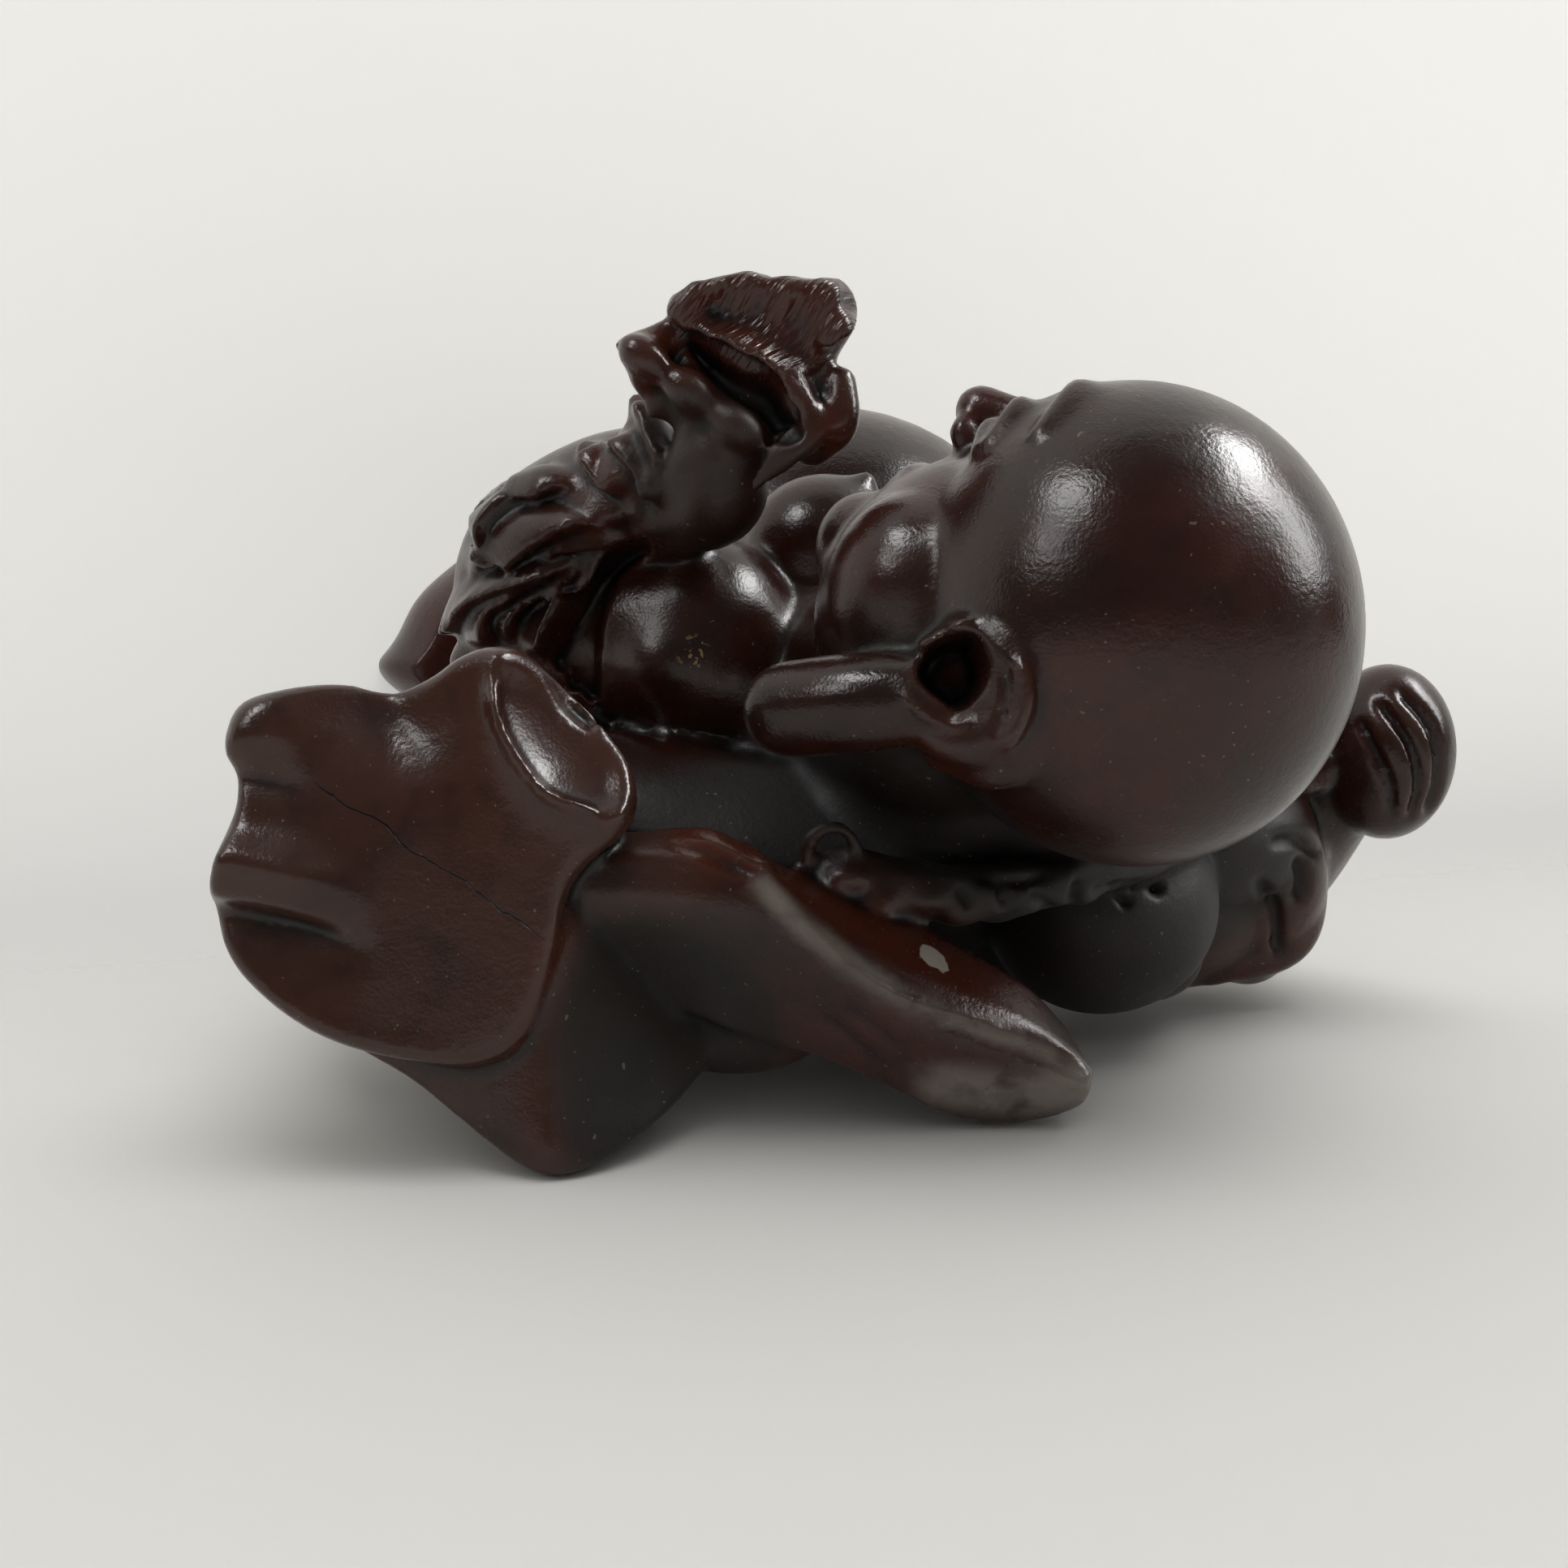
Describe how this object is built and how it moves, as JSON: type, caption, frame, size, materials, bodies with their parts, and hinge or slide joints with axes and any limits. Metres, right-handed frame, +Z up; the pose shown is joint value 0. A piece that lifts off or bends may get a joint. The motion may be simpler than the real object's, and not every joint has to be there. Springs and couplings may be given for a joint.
{
  "type": "hotei statue",
  "caption": "Small dark wood Hotei standing on a low base, a sack on the shoulder and a blossom raised in the left hand",
  "frame": {"origin": "middle of the flat underside of the base", "axes": "+Z up, the figure faces -Y, +X is the figure's own left side"},
  "size_m": [0.1222, 0.072, 0.1459],
  "materials": {
    "carved_wood": "dark red-brown hardwood, hand carved and polished to a soft gloss, darker in the hollows"
  },
  "bodies": {
    "root": {"hotei_figure": "carved_wood"}
  },
  "joints": []
}
